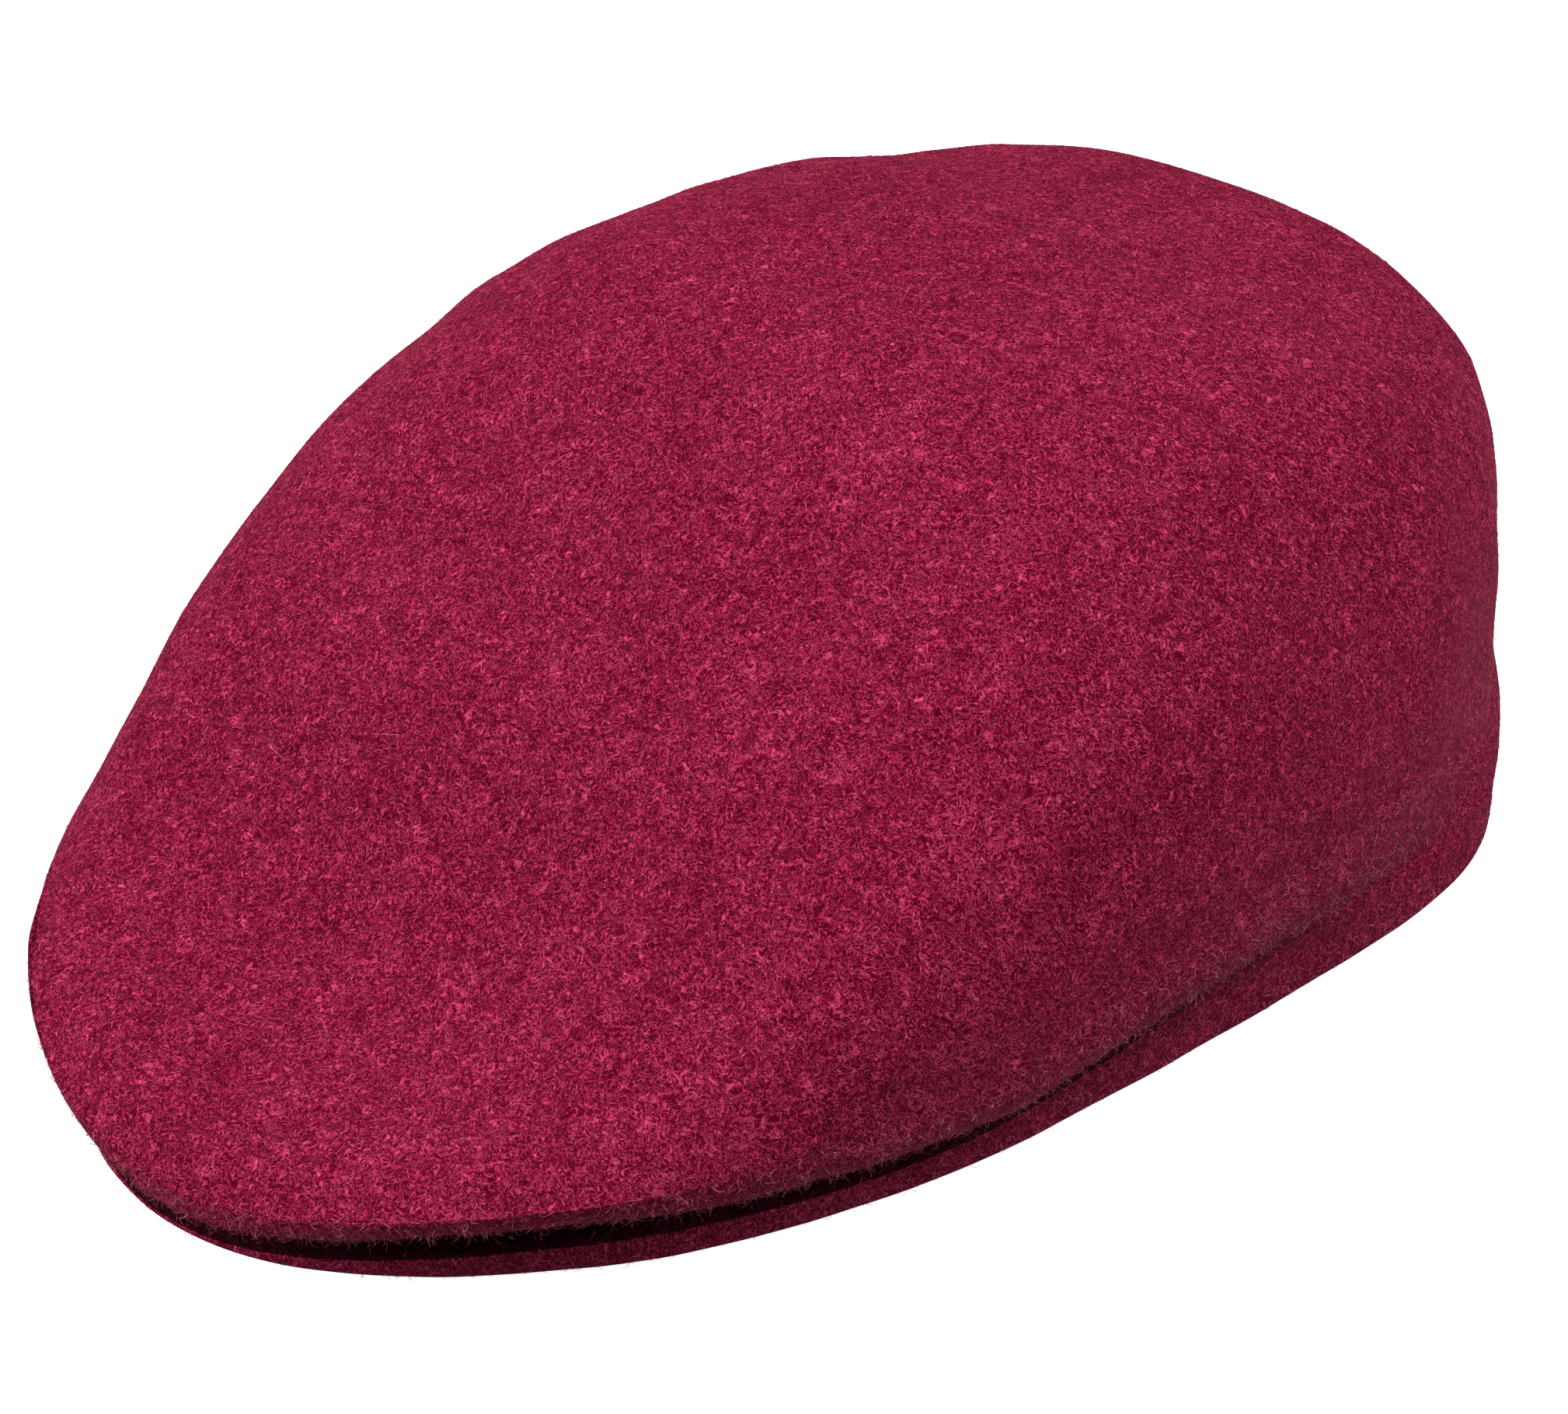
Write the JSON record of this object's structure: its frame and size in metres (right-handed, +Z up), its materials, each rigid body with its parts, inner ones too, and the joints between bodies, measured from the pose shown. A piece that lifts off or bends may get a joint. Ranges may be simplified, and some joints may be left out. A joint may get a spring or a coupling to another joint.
{
  "type": "flat cap",
  "caption": "Seamless wool felt flat cap with a rounded crown blocked over a short covered bill, ribbon sweatband and blank labels.",
  "frame": {"origin": "centre of the head opening, in the plane of the cap's lower rim", "axes": "+Z up through the crown, -Y towards the bill, +X towards the wearer's left"},
  "size_m": [0.2082, 0.2791, 0.108],
  "materials": {
    "wool_felt": "milled wool felt with a short curly nap",
    "bill_felt": "milled wool felt, the same as the body",
    "stiffener": "matt moulded sheet",
    "thread": "spun polyester thread",
    "ribbon": "ribbed grosgrain weave",
    "label": "satin weave, blank"
  },
  "bodies": {
    "cap": {"felt_body": "wool_felt", "bill_underlay": "bill_felt", "bill_stiffener": "stiffener", "bill_edge_thread": "thread", "sweatband": "ribbon", "sweatband_thread": "thread", "woven_label": "label", "woven_label_thread": "thread", "size_tab": "label", "care_label_hem": "label", "care_label_thread": "thread"},
    "care_label": {"care_label_flap": "label"}
  },
  "joints": [
    {"name": "care_label_fold", "type": "hinge", "parent": "cap", "child": "care_label", "pos_m": [0.0876, -0.01, 0.0261], "axis": [0, 1, 0], "range_deg": [0, 120]}
  ]
}
